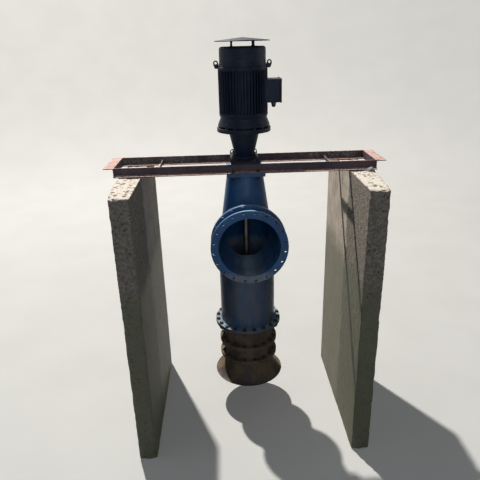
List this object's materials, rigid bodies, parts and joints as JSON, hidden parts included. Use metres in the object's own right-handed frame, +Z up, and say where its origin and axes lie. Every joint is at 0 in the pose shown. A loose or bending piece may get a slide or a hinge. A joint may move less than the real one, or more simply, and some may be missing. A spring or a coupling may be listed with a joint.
{
  "type": "vertical axial flow pump on a steel frame between concrete piers",
  "caption": "Vertical axial flow pump: motor on a stool above an angle-iron frame, flanged front outlet, submerged column with suction bell, on concrete piers.",
  "frame": {"origin": "on the sump floor, at the middle of the footprint of the two piers", "axes": "+Z up, -Y towards the outlet, +X to the right when looking at the outlet"},
  "size_m": [2.85, 1.74, 4.188],
  "materials": {
    "concrete": "cast concrete, weathered and pitted",
    "oxide_primer": "matt red oxide primer on hot rolled angle",
    "blue_enamel": "blue gloss enamel, weathered",
    "navy_enamel": "dark blue-grey motor enamel",
    "wet_cast_iron": "sand cast, dark and rust stained",
    "bronze": "cast bronze",
    "shaft_steel": "turned",
    "gland_nylon": "moulded"
  },
  "bodies": {
    "root": {"right_pier": "concrete", "left_pier": "concrete", "front_beam": "oxide_primer", "rear_beam": "oxide_primer", "right_end_member": "oxide_primer", "left_end_member": "oxide_primer", "right_cross_member": "oxide_primer", "left_cross_member": "oxide_primer", "base_plate": "navy_enamel", "head_plate": "blue_enamel", "shaft_seal_housing": "wet_cast_iron", "stool_foot_ring": "navy_enamel", "stool_cone": "navy_enamel", "stool_seat_ring": "navy_enamel", "motor_lower_shield": "navy_enamel", "motor_frame": "navy_enamel", "motor_upper_shield": "navy_enamel", "fan_cowl": "navy_enamel", "rain_hood": "navy_enamel", "terminal_box": "navy_enamel", "terminal_box_lid": "navy_enamel", "cable_gland": "gland_nylon", "head_top_plate": "blue_enamel", "head_cone": "blue_enamel", "head_branch": "blue_enamel", "head_outlet_flange": "blue_enamel", "head_lower_flange": "blue_enamel", "outlet_spool": "blue_enamel", "column_upper_flange": "blue_enamel", "column_pipe": "blue_enamel", "column_lower_flange": "blue_enamel", "diffuser_casing": "wet_cast_iron", "diffuser_vanes": "wet_cast_iron", "propeller_casing": "wet_cast_iron", "suction_bell": "wet_cast_iron", "propeller": "bronze", "propeller_nose": "bronze", "drive_shaft": "shaft_steel"}
  },
  "joints": []
}
